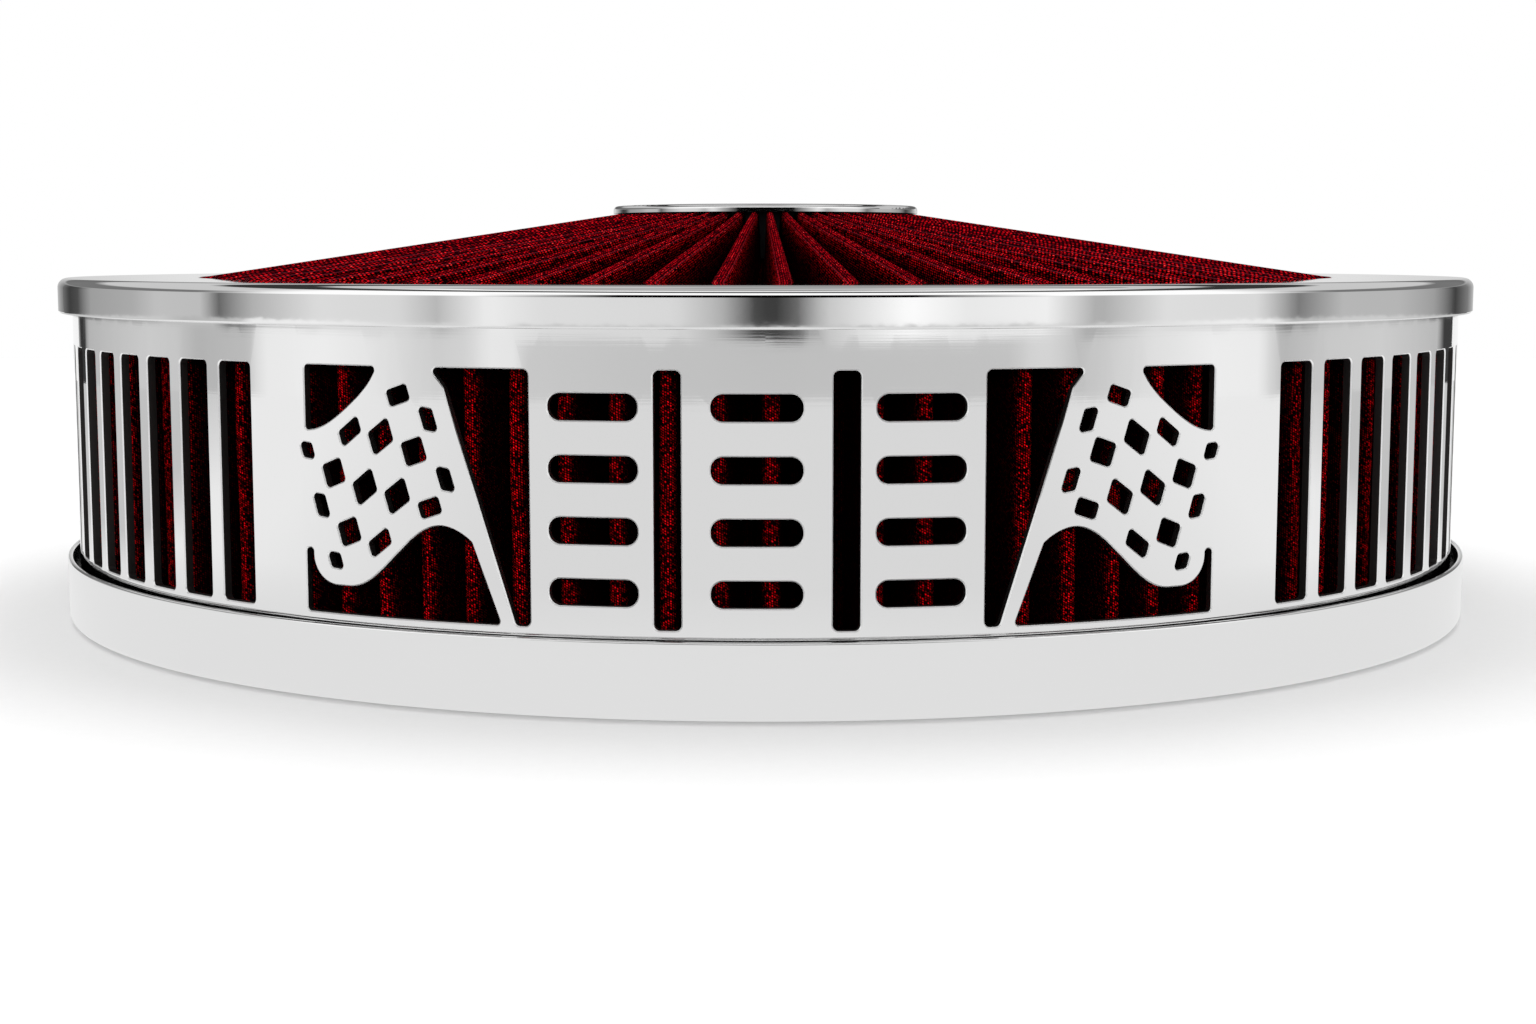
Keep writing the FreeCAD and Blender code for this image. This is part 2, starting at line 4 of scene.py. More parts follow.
import bmesh
import bpy
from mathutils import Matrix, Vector


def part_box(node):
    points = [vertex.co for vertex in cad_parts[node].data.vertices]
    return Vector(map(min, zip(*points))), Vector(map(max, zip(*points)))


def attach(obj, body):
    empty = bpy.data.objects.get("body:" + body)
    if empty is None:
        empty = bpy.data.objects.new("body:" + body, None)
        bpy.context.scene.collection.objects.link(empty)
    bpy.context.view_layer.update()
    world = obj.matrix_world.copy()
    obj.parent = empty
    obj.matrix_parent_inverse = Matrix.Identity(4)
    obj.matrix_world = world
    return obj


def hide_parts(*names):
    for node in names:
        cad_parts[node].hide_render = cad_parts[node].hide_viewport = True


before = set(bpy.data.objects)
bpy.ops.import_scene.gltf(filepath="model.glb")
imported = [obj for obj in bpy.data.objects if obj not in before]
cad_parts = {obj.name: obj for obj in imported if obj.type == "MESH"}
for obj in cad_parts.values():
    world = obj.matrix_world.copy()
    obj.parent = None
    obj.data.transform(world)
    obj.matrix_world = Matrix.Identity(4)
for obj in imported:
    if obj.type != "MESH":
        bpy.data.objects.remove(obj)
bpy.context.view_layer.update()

random.seed(7)

MM = 0.001
TURN = 2 * math.pi
FRONT = -math.pi / 2


def outline(node):
    """A CAD node's reach along X, its foot and its top, in millimetres."""
    low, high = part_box(node)
    return high.x / MM, low.z / MM, high.z / MM


# Outlines that the frame gives, in millimetres
RING_RADIUS, RING_FOOT, RING_TOP = outline("lid_ring")
PAN_RADIUS, _, NECK_TOP = outline("base_pan")
STUD_RADIUS, STUD_BOTTOM, STUD_TOP = outline("centre_stud")
NUT_RADIUS, COLLAR_BOTTOM, NUT_TOP = outline("hold_down_nut")
STRIP_RADIUS, _, _ = outline("filter_surround")
_, SIDE_BOTTOM, SIDE_TOP = outline("side_pleats")
_, _, LID_RIDGE_AT_HUB = outline("lid_pleats")

# Pressed sheet of the ring and the pan
SHEET = 1.2
SHEET_ROUND = 0.5
RING_INNER = 145.0
RING_BEND = 1.05
RING_STEPS = 400
PAN_HEIGHT = 15.3
PAN_CORNER = 0.2
PAN_STEPS = 360
STEP_FOOT = 98.0
STEP_TOP = 91.0
STEP_RISE = 6.0
STEP_BEND = 2.0
NECK_RADIUS = 65.1
NECK_BEND = 0.8

# Folded cloth: its folds, its wire pitch as drawn, and the length of cloth set aside for each fold
LID_PLEATS = 64
LID_PHASE = math.radians(1.65)
LID_INNER = 34.5
LID_OUTER = 144.7
LID_RIDGE_AT_RING = 82.05
LID_DEPTH = 12.0
LID_WALL = 0.8
SIDE_PLEATS = 107
SIDE_PHASE = math.radians(0.4)
SIDE_TIP = 169.8
SIDE_ROOT = 151.6
SIDE_WALL = 0.9
DRIFT = 0.1
SWAY = 0.12
WIRE = 0.5
FOLD_SPAN = 60.0

# Stud and nut, 1/4-20
STUD_CORE = 2.45
STUD_SHANK = 2.8
STUD_STEPS = 48
LOWER_THREAD = 17.2
UPPER_THREAD = 15.2
PITCH = 1.27
THREAD_CREST = 0.12
THREAD_SINK = 0.05
NUT_BORE = 3.225
NUT_SEAT = 92.5
NUT_RECESS = 6.0
NUT_DISH = 1.0
KNURLS = 84
KNURL_DEPTH = 0.035
COLLAR_RADIUS = 4.925

# Photograph: pixels across, focal length and sideways shift in pixels, the lens's place in metres
PHOTO_WIDTH = 1536.0
FOCAL_LENGTH = 2249.9
CENTRE_SHIFT = 2.5
SENSOR = 36.0
CAMERA_BACK = 0.59487
CAMERA_HEIGHT = 0.0881
CAMERA_TILT = 0.1145

# Studio, in metres; the surround stands on the level of the pan's foot
FLOOR = -0.8 * MM
FLOOR_SIZE = 2.6
WALL_RADIUS = 1.11
WALL_HEIGHT = 1.84
BRIGHTEST = 1.2
BEHIND = 140.0


# Camera

def set_camera():
    """The photograph's view: low, close and in front."""
    data = bpy.data.cameras.new("photo_view")
    data.sensor_width = SENSOR
    data.lens = SENSOR * FOCAL_LENGTH / PHOTO_WIDTH
    data.shift_x = CENTRE_SHIFT / PHOTO_WIDTH
    data.clip_start = 0.01
    data.clip_end = 50.0
    camera = bpy.data.objects.new("photo_view", data)
    camera.location = (0.0, -CAMERA_BACK, CAMERA_HEIGHT)
    camera.rotation_euler = (math.radians(90.0) - CAMERA_TILT, 0.0, 0.0)
    bpy.context.scene.collection.objects.link(camera)
    bpy.context.scene.camera = camera


# Materials

def linear(hex_colour):
    """sRGB hex to the linear values that a shader takes."""
    parts = [int(hex_colour[i:i + 2], 16) / 255.0 for i in (1, 3, 5)]
    lin = [c / 12.92 if c <= 0.04045 else ((c + 0.055) / 1.055) ** 2.4 for c in parts]
    return (*lin, 1.0)


def add(tree, kind, inputs=None, **settings):
    """Adds a node, sets what it has and links or fills its inputs, by name or by number.
    Map Range: 0 is the value, 1 and 2 the range it comes from, 3 and 4 the range it goes to.
    Mix: 0 is the share, 2 and 3 are what it mixes."""
    node = tree.nodes.new(kind)
    for name, value in settings.items():
        setattr(node, name, value)
    for key, value in (inputs or {}).items():
        if isinstance(value, bpy.types.NodeSocket):
            tree.links.new(value, node.inputs[key])
        else:
            node.inputs[key].default_value = value
    return node


def blank(name):
    """An empty material with its output node."""
    material = bpy.data.materials.new(name)
    material.use_nodes = True
    tree = material.node_tree
    tree.nodes.clear()
    return material, tree, tree.nodes.new("ShaderNodeOutputMaterial")


def stops(ramp, *places):
    """Sets a colour ramp's stops from (position, grey or colour) pairs."""
    elements = ramp.color_ramp.elements
    while len(elements) > len(places):
        elements.remove(elements[-1])
    while len(elements) < len(places):
        elements.new(1.0)
    for element, (position, value) in zip(elements, places):
        element.position = position
        element.color = value if isinstance(value, tuple) else (value, value, value, 1.0)


def chrome_plate(name, low, high):
    """Chrome plate over pressed and buffed steel: a bright mirror whose buffing leaves
    faint haze in patches of 26 mm, and whose plate has a soft orange-peel ripple of 2.4 mm."""
    material, tree, out = blank(name)
    place = add(tree, "ShaderNodeTexCoord").outputs["Object"]
    haze = add(tree, "ShaderNodeTexNoise", {"Vector": place, "Scale": 38.0, "Detail": 4.0, "Roughness": 0.6})
    rough = add(tree, "ShaderNodeMapRange", {0: haze.outputs["Fac"], 1: 0.3, 2: 0.7, 3: low, 4: high})
    peel = add(tree, "ShaderNodeTexNoise", {"Vector": place, "Scale": 420.0, "Detail": 1.0})
    bump = add(tree, "ShaderNodeBump", {"Height": peel.outputs["Fac"], "Strength": 0.01, "Distance": 0.0002})
    shader = add(tree, "ShaderNodeBsdfPrincipled", {
        "Base Color": linear("#efefef"), "Metallic": 1.0,
        "Roughness": rough.outputs["Result"], "Normal": bump.outputs["Normal"]})
    tree.links.new(shader.outputs["BSDF"], out.inputs["Surface"])
    return material


def polished_strip():
    """Aluminium strip, rolled, pierced and polished: a soft mirror with faint streaks along the strip,
    chamfered edges with a pure white base colour that is a painted highlight, and cut walls with a dark grey
    base colour that is painted shade; the walls are also rougher."""
    material, tree, out = blank("polished_pierced_aluminium")
    place = add(tree, "ShaderNodeTexCoord").outputs["Object"]
    axes = add(tree, "ShaderNodeSeparateXYZ", {"Vector": place})
    angle = add(tree, "ShaderNodeMath", {0: axes.outputs["X"], 1: axes.outputs["Y"]}, operation="ARCTAN2")
    along = add(tree, "ShaderNodeMath", {0: angle.outputs[0], 1: STRIP_RADIUS * MM}, operation="MULTIPLY")
    rolled = add(tree, "ShaderNodeCombineXYZ", {"X": along.outputs[0], "Y": axes.outputs["Z"]})
    # 0.5 mm streaks, drawn out eighty times along the strip
    drawn = add(tree, "ShaderNodeMapping", {"Vector": rolled.outputs[0], "Scale": (25.0, 2000.0, 1.0)})
    streaks = add(tree, "ShaderNodeTexNoise", {"Vector": drawn.outputs[0], "Scale": 1.0, "Detail": 3.0})
    clouds = add(tree, "ShaderNodeTexNoise", {"Vector": place, "Scale": 30.0, "Detail": 3.0})
    both = add(tree, "ShaderNodeMath", {0: streaks.outputs["Fac"], 1: clouds.outputs["Fac"]}, operation="ADD")
    rough = add(tree, "ShaderNodeMapRange", {0: both.outputs[0], 1: 0.7, 2: 1.3, 3: 0.025, 4: 0.05})
    # How far the surface faces out of the hoop: 1 on the skin, 0.7 on a chamfer, 0 on a cut wall
    flat = add(tree, "ShaderNodeVectorMath", {0: place, 1: (1.0, 1.0, 0.0)}, operation="MULTIPLY")
    outward = add(tree, "ShaderNodeVectorMath", {0: flat.outputs[0]}, operation="NORMALIZE")
    normal = add(tree, "ShaderNodeNewGeometry").outputs["True Normal"]
    facing = add(tree, "ShaderNodeVectorMath", {0: outward.outputs[0], 1: normal}, operation="DOT_PRODUCT")
    turned = add(tree, "ShaderNodeMath", {0: facing.outputs["Value"]}, operation="ABSOLUTE")
    edge = add(tree, "ShaderNodeValToRGB", {"Fac": turned.outputs[0]})
    stops(edge, (0.0, 0.5), (0.45, 0.5), (0.6, 0.42), (0.85, 0.42), (0.93, 0.0))
    roughness = add(tree, "ShaderNodeMath", {
        0: rough.outputs["Result"], 1: edge.outputs["Color"]}, operation="MAXIMUM")
    # Base colour by facing: dark grey on the cut walls is painted shade, and pure white on the chamfers a
    # painted highlight; the skin keeps its own pale grey.
    painted_edge_light_and_wall_shade = add(tree, "ShaderNodeValToRGB", {"Fac": turned.outputs[0]})
    stops(painted_edge_light_and_wall_shade, (0.0, linear("#555352")), (0.45, linear("#555352")), (0.6, linear("#ffffff")),
          (0.85, linear("#ffffff")), (0.93, linear("#ededed")))
    bump = add(tree, "ShaderNodeBump", {
        "Height": streaks.outputs["Fac"], "Strength": 0.006, "Distance": 0.0002})
    shader = add(tree, "ShaderNodeBsdfPrincipled", {
        "Base Color": painted_edge_light_and_wall_shade.outputs["Color"], "Metallic": 1.0,
        "Roughness": roughness.outputs[0], "Normal": bump.outputs["Normal"]})
    tree.links.new(shader.outputs["BSDF"], out.inputs["Surface"])
    return material


def pleated_gauze(name, colours, spread, stretch, rarity, shade_reach):
    """Oiled red cotton gauze under a fine black wire mesh: each mesh cell shows as a bead of oiled red
    between dark wires. Down a fold's flanks the beads are painted darker and fewer show, which is painted
    shade; along the ridge the cloth is painted lighter, a painted highlight. The mesh is drawn at 0.5 mm,
    twice its real pitch, so that it shows at this distance. The colours are those of ridge (a painted
    highlight), crease, ground, bead and glint (a painted highlight on the brightest beads). A bead reaches
    spread cells from its middle, a cell is stretch times as long as wide, a higher rarity leaves fewer bright
    beads, and reach is the length of cloth down a fold, in mm, that sets where the painted ridge highlight
    and the crease fall and how soon the painted shade darkens the beads."""
    ridge, crease, ground, red, glint = [linear(c) for c in colours]
    material, tree, out = blank(name)
    weave = add(tree, "ShaderNodeUVMap", uv_map="cloth").outputs["UV"]
    place = add(tree, "ShaderNodeTexCoord").outputs["Object"]
    # The weave is pulled out of true every 2 mm or so
    wander = add(tree, "ShaderNodeTexNoise", {"Vector": place, "Scale": 450.0, "Detail": 1.0})
    pull = add(tree, "ShaderNodeVectorMath", {
        0: wander.outputs["Color"], 1: (0.5, 0.5, 0.5)}, operation="SUBTRACT")
    shaken = add(tree, "ShaderNodeVectorMath", {
        0: pull.outputs[0], 1: (0.3, 0.5, 0.0), 2: weave}, operation="MULTIPLY_ADD")
    # Cross wires run aslant to the folds
    across = add(tree, "ShaderNodeVectorMath", {
        0: shaken.outputs[0], 1: (1.0 / WIRE, 0.0, 0.0)}, operation="DOT_PRODUCT")
    along = add(tree, "ShaderNodeVectorMath", {
        0: shaken.outputs[0], 1: (0.5 / WIRE / stretch, 1.0 / WIRE / stretch, 0.0)}, operation="DOT_PRODUCT")
    cells = add(tree, "ShaderNodeCombineXYZ", {"X": across.outputs["Value"], "Y": along.outputs["Value"]})
    cell = add(tree, "ShaderNodeVectorMath", {0: cells.outputs[0]}, operation="FLOOR")
    chance = add(tree, "ShaderNodeTexWhiteNoise", {"Vector": cell.outputs[0]}, noise_dimensions="2D")
    inside = add(tree, "ShaderNodeVectorMath", {0: cells.outputs[0]}, operation="FRACTION")
    centred = add(tree, "ShaderNodeVectorMath", {
        0: inside.outputs[0], 1: (0.5, 0.5, 0.0)}, operation="SUBTRACT")
    off = add(tree, "ShaderNodeVectorMath", {0: centred.outputs[0]}, operation="LENGTH")
    bead = add(tree, "ShaderNodeMapRange", {
        0: off.outputs["Value"], 1: spread, 2: 0.08}, interpolation_type="SMOOTHSTEP")
    # Cloth length from the ridge of the fold, as a share of the reach
    axes = add(tree, "ShaderNodeSeparateXYZ", {"Vector": weave})
    from_ridge = add(tree, "ShaderNodeMath", {
        0: axes.outputs["X"], 1: FOLD_SPAN / 2, 2: -FOLD_SPAN / 2}, operation="WRAP")
    down = add(tree, "ShaderNodeMath", {0: from_ridge.outputs[0]}, operation="ABSOLUTE")
    share = add(tree, "ShaderNodeMath", {0: down.outputs[0], 1: 1.0 / shade_reach}, operation="MULTIPLY")
    # The ridge's colour is a painted highlight along the top of each fold; a paler crease runs a little below
    # it.
    cloth = add(tree, "ShaderNodeValToRGB", {"Fac": share.outputs[0]})
    stops(cloth, (0.0, ridge), (0.11, ridge), (0.14, ground), (0.155, crease), (0.175, ground))
    # Painted shade: beads show brightest near the ridge and along the crease, and are painted ever darker
    # down the flanks towards the valleys.
    painted_flank_shade = add(tree, "ShaderNodeValToRGB", {"Fac": share.outputs[0]})
    stops(painted_flank_shade, (0.0, 0.7), (0.06, 1.0), (0.11, 0.3), (0.16, 1.0), (0.25, 0.5), (0.45, 0.14), (0.8, 0.04))
    luck = add(tree, "ShaderNodeMath", {0: chance.outputs["Value"], 1: rarity}, operation="POWER")
    size = add(tree, "ShaderNodeMath", {0: bead.outputs["Result"], 1: luck.outputs[0]}, operation="MULTIPLY")
    shaded_bead = add(tree, "ShaderNodeMath", {0: size.outputs[0], 1: painted_flank_shade.outputs["Color"]}, operation="MULTIPLY")
    # The brightest beads take the glint colour, a painted highlight.
    drop = add(tree, "ShaderNodeValToRGB", {"Fac": shaded_bead.outputs[0]})
    stops(drop, (0.0, 0.0), (0.65, red), (1.0, glint))
    colour = add(tree, "ShaderNodeMix", {
        "Factor": 1.0, "A": cloth.outputs["Color"], "B": drop.outputs["Color"]},
        data_type="RGBA", blend_type="ADD")
    bump = add(tree, "ShaderNodeBump", {
        "Height": bead.outputs["Result"], "Strength": 0.4, "Distance": 0.0001})
    shader = add(tree, "ShaderNodeBsdfPrincipled", {
        "Base Color": colour.outputs["Result"], "Roughness": 0.6, "Specular IOR Level": 0.0,
        "Normal": bump.outputs["Normal"]})
    tree.links.new(shader.outputs["BSDF"], out.inputs["Surface"])
    return material


def moulded_rubber(name, colour, roughness):
    """Soft black moulding, cast in a mould: dull, with a grain of 0.7 mm and paler scuffs
    in patches of 17 mm."""
    material, tree, out = blank(name)
    place = add(tree, "ShaderNodeTexCoord").outputs["Object"]
    grain = add(tree, "ShaderNodeTexNoise", {"Vector": place, "Scale": 1400.0, "Detail": 2.0})
    cloud = add(tree, "ShaderNodeTexNoise", {"Vector": place, "Scale": 60.0, "Detail": 3.0})
    tone = add(tree, "ShaderNodeMix", {
        "Factor": cloud.outputs["Fac"], "A": linear(colour), "B": linear("#161617")}, data_type="RGBA")
    bump = add(tree, "ShaderNodeBump", {"Height": grain.outputs["Fac"], "Strength": 0.2, "Distance": 0.0001})
    shader = add(tree, "ShaderNodeBsdfPrincipled", {
        "Base Color": tone.outputs["Result"], "Roughness": roughness, "Normal": bump.outputs["Normal"]})
    tree.links.new(shader.outputs["BSDF"], out.inputs["Surface"])
    return material


def turned_metal(name, colour, roughness):
    """Metal faced on a lathe and plated or polished: fine rings about the axis, 0.3 mm
    apart, which draw a reflection out towards the middle."""
    material, tree, out = blank(name)
    place = add(tree, "ShaderNodeTexCoord").outputs["Object"]
    axes = add(tree, "ShaderNodeSeparateXYZ", {"Vector": place})
    flat = add(tree, "ShaderNodeCombineXYZ", {"X": axes.outputs["X"], "Y": axes.outputs["Y"]})
    radius = add(tree, "ShaderNodeVectorMath", {0: flat.outputs[0]}, operation="LENGTH")
    cut = add(tree, "ShaderNodeCombineXYZ", {"X": radius.outputs["Value"], "Y": axes.outputs["Z"]})
    rings = add(tree, "ShaderNodeTexNoise", {"Vector": cut.outputs[0], "Scale": 3000.0, "Detail": 2.0})
    rough = add(tree, "ShaderNodeMapRange", {
        0: rings.outputs["Fac"], 3: roughness * 0.7, 4: roughness * 1.3})
    bump = add(tree, "ShaderNodeBump", {"Height": rings.outputs["Fac"], "Strength": 0.05, "Distance": 0.0001})
    shader = add(tree, "ShaderNodeBsdfPrincipled", {
        "Base Color": linear(colour), "Metallic": 1.0,
        "Roughness": rough.outputs["Result"], "Normal": bump.outputs["Normal"]})
    tree.links.new(shader.outputs["BSDF"], out.inputs["Surface"])
    return material


# Modelling by hand

def pick(kind, test):
    """In edit mode, selects just the vertices, edges or faces whose middle passes a test."""
    bpy.ops.mesh.select_mode(type=kind)
    bpy.ops.mesh.select_all(action="DESELECT")
    mesh = bpy.context.object.data
    work = bmesh.from_edit_mesh(mesh)
    for item in {"VERT": work.verts, "EDGE": work.edges, "FACE": work.faces}[kind]:
        corners = [item] if kind == "VERT" else item.verts
        middle = sum((v.co for v in corners), Vector()) / len(corners) / MM
        if test(middle):
            item.select_set(True)
    bmesh.update_edit_mesh(mesh)


def near(r, z):
    """A test for a place at radius r and height z, within 0.02 mm."""
    return lambda p: math.hypot(p.x - r, p.z - z) < 0.02


def section(name, inner, outer, bottom, top):
    """A plane stood on edge beside the axis: the first leg of a turned piece's section."""
    bpy.ops.object.select_all(action="DESELECT")
    bpy.ops.mesh.primitive_plane_add(
        size=MM, rotation=(math.pi / 2, 0.0, 0.0),
        location=((inner + outer) / 2 * MM, 0.0, (bottom + top) / 2 * MM))
    obj = bpy.context.object
    obj.name = name
    obj.scale = (outer - inner, top - bottom, 1.0)
    bpy.ops.object.transform_apply(location=True, rotation=True, scale=True)
    bpy.ops.object.mode_set(mode="EDIT")
    return obj


def grow(r, z, out, rise):
    """Extrudes the section's edge whose middle is at (r, z)."""
    pick("EDGE", near(r, z))
    bpy.ops.mesh.extrude_region_move(TRANSFORM_OT_translate={"value": (out * MM, 0.0, rise * MM)})


def shift(r, z, out):
    """Moves the section's corner at (r, z) outwards."""
    pick("VERT", near(r, z))
    bpy.ops.transform.translate(value=(out * MM, 0.0, 0.0))


def cut_at(radius):
    """Cuts the section upright at a radius."""
    bpy.ops.mesh.select_all(action="SELECT")
    bpy.ops.mesh.bisect(plane_co=(radius * MM, 0.0, 0.0), plane_no=(1.0, 0.0, 0.0))


def round_corners(corners):
    """Joins the section to one face and rounds its (r, z, set-back, segments) corners."""
    bpy.ops.mesh.select_all(action="SELECT")
    bpy.ops.mesh.dissolve_limited(angle_limit=0.01)
    for r, z, setback, segments in corners:
        pick("VERT", near(r, z))
        bpy.ops.mesh.bevel(offset=setback * MM, segments=segments, affect="VERTICES")


def close_skin():
    """Welds a turned skin's seam, faces it outwards and shades it smooth."""
    bpy.ops.mesh.select_all(action="SELECT")
    bpy.ops.mesh.remove_doubles(threshold=MM * MM)
    bpy.ops.mesh.normals_make_consistent(inside=False)
    bpy.ops.object.mode_set(mode="OBJECT")
    bpy.ops.object.shade_smooth_by_angle(angle=math.radians(30.0))


def spin_round(obj, steps):
    """Spins the section once round the axis; broad faces keep their own shading."""
    bpy.ops.mesh.select_all(action="SELECT")
    bpy.ops.mesh.delete(type="ONLY_FACE")
    pick("EDGE", lambda p: p.x < 0.001)
    bpy.ops.mesh.delete(type="EDGE")
    bpy.ops.mesh.select_all(action="SELECT")
    bpy.ops.mesh.spin(steps=steps, angle=TURN, center=(0.0, 0.0, 0.0), axis=(0.0, 0.0, 1.0))
    close_skin()
    weigh = obj.modifiers.new("broad_faces_first", "WEIGHTED_NORMAL")
    weigh.keep_sharp = True
    bpy.ops.object.modifier_apply(modifier=weigh.name)
    return obj


def finish_piece(obj, node, body, material):
    """Puts a piece in place of its CAD node."""
    obj.data.materials.clear()
    obj.data.materials.append(material)
    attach(obj, body)
    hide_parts(node)


def dress(node, material):
    """Gives a CAD node its finish."""
    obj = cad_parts[node]
    obj.data.materials.clear()
    obj.data.materials.append(material)


# Turned and pressed pieces

def lid_ring(material):
    """The lid's ring: a flat land with a bent-down skirt."""
    under = RING_TOP - SHEET
    wall = RING_RADIUS - SHEET
    obj = section("spun_lid_ring", RING_INNER, RING_RADIUS, under, RING_TOP)
    cut_at(wall)
    grow(wall + SHEET / 2, under, 0.0, RING_FOOT - under)
    round_corners([
        (RING_RADIUS, RING_TOP, RING_BEND + SHEET, 18), (wall, under, RING_BEND, 6),
        (RING_RADIUS, RING_FOOT, SHEET_ROUND, 6), (wall, RING_FOOT, SHEET_ROUND, 6),
        (RING_INNER, RING_TOP, SHEET_ROUND, 6), (RING_INNER, under, SHEET_ROUND, 6)])
    finish_piece(spin_round(obj, RING_STEPS), "lid_ring", "housing", material)


def base_pan(material):
    """The pan: rim, floor, a step up to its raised middle and the turned-up neck."""
    # A bend's set-back is its radius times this; the sheet's two faces keep one thickness
    half_bend = math.tan(math.atan2(STEP_RISE, STEP_FOOT - STEP_TOP) / 2)
    lean = SHEET * half_bend
    tight = STEP_BEND * half_bend
    wide = tight + lean
    wall = PAN_RADIUS - SHEET
    neck_wall = NECK_RADIUS + SHEET
    shelf = STEP_RISE + SHEET
    obj = section("pressed_base_pan", STEP_FOOT, PAN_RADIUS, 0.0, SHEET)
    shift(STEP_FOOT, SHEET, lean)
    grow(STEP_FOOT + lean / 2, SHEET / 2, STEP_TOP - STEP_FOOT, STEP_RISE)
    grow(STEP_TOP + lean / 2, STEP_RISE + SHEET / 2, NECK_RADIUS - STEP_TOP, 0.0)
    shift(NECK_RADIUS + lean, shelf, -lean)
    cut_at(neck_wall)
    grow(NECK_RADIUS + SHEET / 2, shelf, 0.0, NECK_TOP - shelf)
    cut_at(wall)
    grow(wall + SHEET / 2, SHEET, 0.0, PAN_HEIGHT - SHEET)
    round_corners([
        (PAN_RADIUS, 0.0, PAN_CORNER + SHEET, 16), (wall, SHEET, PAN_CORNER, 8),
        (PAN_RADIUS, PAN_HEIGHT, SHEET_ROUND, 6), (wall, PAN_HEIGHT, SHEET_ROUND, 6),
        (STEP_FOOT, 0.0, tight, 4), (STEP_FOOT + lean, SHEET, wide, 4),
        (STEP_TOP, STEP_RISE, wide, 4), (STEP_TOP + lean, shelf, tight, 4),
        (NECK_RADIUS, STEP_RISE, NECK_BEND + SHEET, 5), (neck_wall, shelf, NECK_BEND, 4),
        (NECK_RADIUS, NECK_TOP, SHEET_ROUND, 4), (neck_wall, NECK_TOP, SHEET_ROUND, 4)])
    finish_piece(spin_round(obj, PAN_STEPS), "base_pan", "housing", material)


def hold_down_nut(material):
    """Turned nut: dished top, collar below, straight knurl round the rim."""
    steps = 2 * KNURLS
    dish = NUT_TOP - NUT_DISH
    obj = section("knurled_hold_down_nut", NUT_BORE, NUT_RADIUS, NUT_SEAT, dish)
    cut_at(NUT_RECESS)
    grow((NUT_RECESS + NUT_RADIUS) / 2, dish, 0.0, NUT_DISH)
    cut_at(COLLAR_RADIUS)
    grow((NUT_BORE + COLLAR_RADIUS) / 2, NUT_SEAT, 0.0, COLLAR_BOTTOM - NUT_SEAT)
    round_corners([
        (NUT_RADIUS, NUT_TOP, 0.8, 4), (NUT_RADIUS, NUT_SEAT, 0.8, 4), (NUT_RECESS, NUT_TOP, 0.3, 3),
        (NUT_BORE, dish, 0.3, 2), (COLLAR_RADIUS, COLLAR_BOTTOM, 0.2, 2)])
    spin_round(obj, steps)
    bpy.ops.object.mode_set(mode="EDIT")
    rim = NUT_RADIUS - 0.1

    def valley(p):
        step = round(math.atan2(p.y, p.x) / TURN * steps)
        return math.hypot(p.x, p.y) > rim and step % 2 == 1

    pick("VERT", valley)
    bottom = 1.0 - KNURL_DEPTH
    bpy.ops.transform.resize(value=(bottom, bottom, 1.0), center_override=(0.0, 0.0, 0.0))
    bpy.ops.object.mode_set(mode="OBJECT")
    bpy.ops.object.shade_flat()
    finish_piece(obj, "hold_down_nut", "nut", material)


def thread(name, top, turns):
    """A thread's ridge, wound round the stud's core from its top turn."""
    root = STUD_CORE - THREAD_SINK
    middle = top - PITCH / 2
    obj = section(name, root, STUD_RADIUS, top - PITCH, top)
    pick("EDGE", near(STUD_RADIUS, middle))
    bpy.ops.transform.resize(
        value=(1.0, 1.0, THREAD_CREST), center_override=(STUD_RADIUS * MM, 0.0, middle * MM))
    bpy.ops.mesh.select_all(action="SELECT")
    bpy.ops.mesh.delete(type="ONLY_FACE")
    pick("EDGE", near(root, middle))
    bpy.ops.mesh.delete(type="EDGE")
    bpy.ops.mesh.select_all(action="SELECT")
    bpy.ops.mesh.screw(steps=36, turns=turns, center=(0.0, 0.0, 0.0), axis=(0.0, 0.0, 1.0))
    close_skin()
    return obj


def centre_stud(material):
    """Stud with its plain shank between two cut threads."""
    shank_foot = STUD_BOTTOM + LOWER_THREAD
    shank_top = STUD_TOP - UPPER_THREAD
    obj = section("threaded_centre_stud", 0.0, STUD_CORE, STUD_BOTTOM, STUD_TOP)
    round_corners([(STUD_CORE, STUD_BOTTOM, 0.5, 3), (STUD_CORE, STUD_TOP, 0.5, 3)])
    spin_round(obj, STUD_STEPS)
    shank = section("stud_shank", 0.0, STUD_SHANK, shank_foot, shank_top)
    round_corners([(STUD_SHANK, shank_foot, 0.4, 2), (STUD_SHANK, shank_top, 0.4, 2)])
    spin_round(shank, STUD_STEPS)
    lower = thread("lower_thread", shank_foot - 0.4, 12)
    upper = thread("upper_thread", STUD_TOP - 0.2, 10)
    bpy.ops.object.select_all(action="DESELECT")
    for piece in (shank, lower, upper, obj):
        piece.select_set(True)
    bpy.context.view_layer.objects.active = obj
    bpy.ops.object.join()
    finish_piece(obj, "centre_stud", "housing", material)


# Folded pieces

